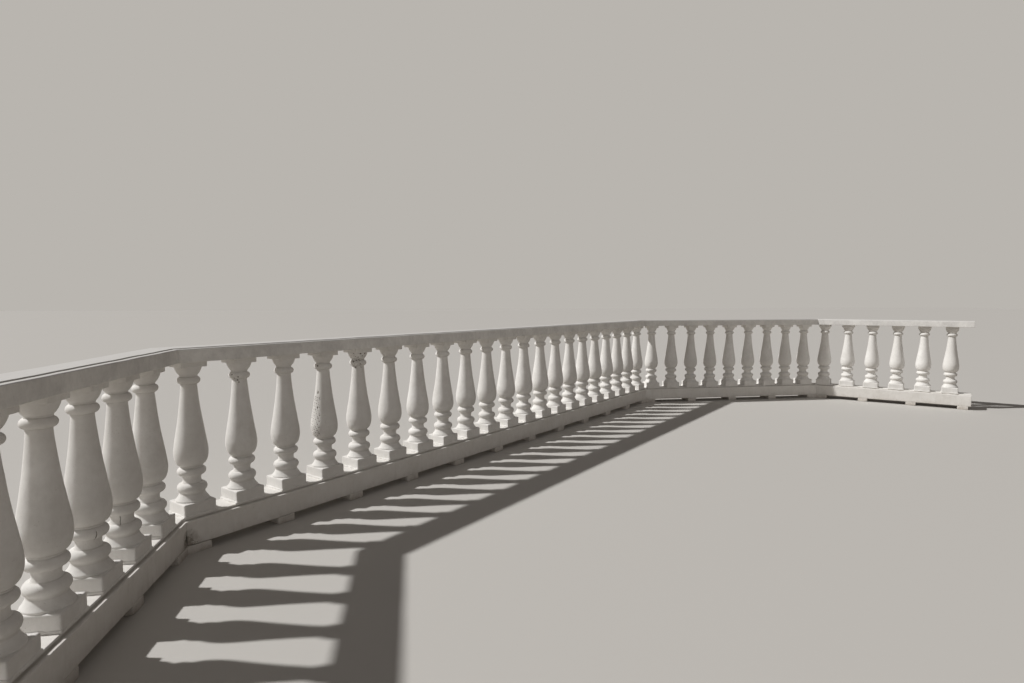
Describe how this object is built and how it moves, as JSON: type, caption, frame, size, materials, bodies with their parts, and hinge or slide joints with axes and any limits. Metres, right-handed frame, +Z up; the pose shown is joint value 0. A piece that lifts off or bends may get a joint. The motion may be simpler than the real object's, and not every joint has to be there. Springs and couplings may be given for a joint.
{
  "type": "terrace balustrade",
  "caption": "White painted cast stone terrace balustrade that turns round a terrace in straight runs: turned balusters between a footed bottom rail and a moulded handrail.",
  "frame": {"origin": "middle of the plan's bounding box, on the floor under the feet", "axes": "+Z up; +X along run 3, towards the house wall; +Y outward across run 3, away from the terrace"},
  "size_m": [6.9922, 6.1544, 0.921],
  "materials": {
    "handrail": "matt white masonry paint, trowelled and weathered",
    "baluster": "matt white masonry paint over smooth cast stone, flaked in places",
    "bottom_rail": "matt white masonry paint, stained by rain and dust",
    "feet": "rough mortar and worn paint"
  },
  "bodies": {
    "root": {"handrail_1": "handrail", "handrail_2": "handrail", "handrail_3": "handrail", "handrail_4": "handrail", "bottom_rail_1": "bottom_rail", "bottom_rail_2": "bottom_rail", "bottom_rail_3": "bottom_rail", "bottom_rail_4": "bottom_rail", "feet_1": "feet", "feet_2": "feet", "feet_3": "feet", "feet_4": "feet", "bend_foot_1": "feet", "bend_foot_2": "feet", "bend_foot_3": "feet", "balusters_1_1": "baluster", "balusters_1_2": "baluster", "balusters_1_3": "baluster", "balusters_1_4": "baluster", "balusters_1_5": "baluster", "balusters_2_1": "baluster", "balusters_2_2": "baluster", "balusters_2_3": "baluster", "balusters_2_4": "baluster", "balusters_2_5": "baluster", "balusters_2_6": "baluster", "balusters_2_7": "baluster", "balusters_2_8": "baluster", "balusters_2_9": "baluster", "balusters_2_10": "baluster", "balusters_2_11": "baluster", "balusters_3_1": "baluster", "balusters_3_2": "baluster", "balusters_3_3": "baluster", "balusters_3_4": "baluster", "balusters_3_5": "baluster", "balusters_4_1": "baluster", "balusters_4_2": "baluster", "balusters_4_3": "baluster"}
  },
  "joints": []
}
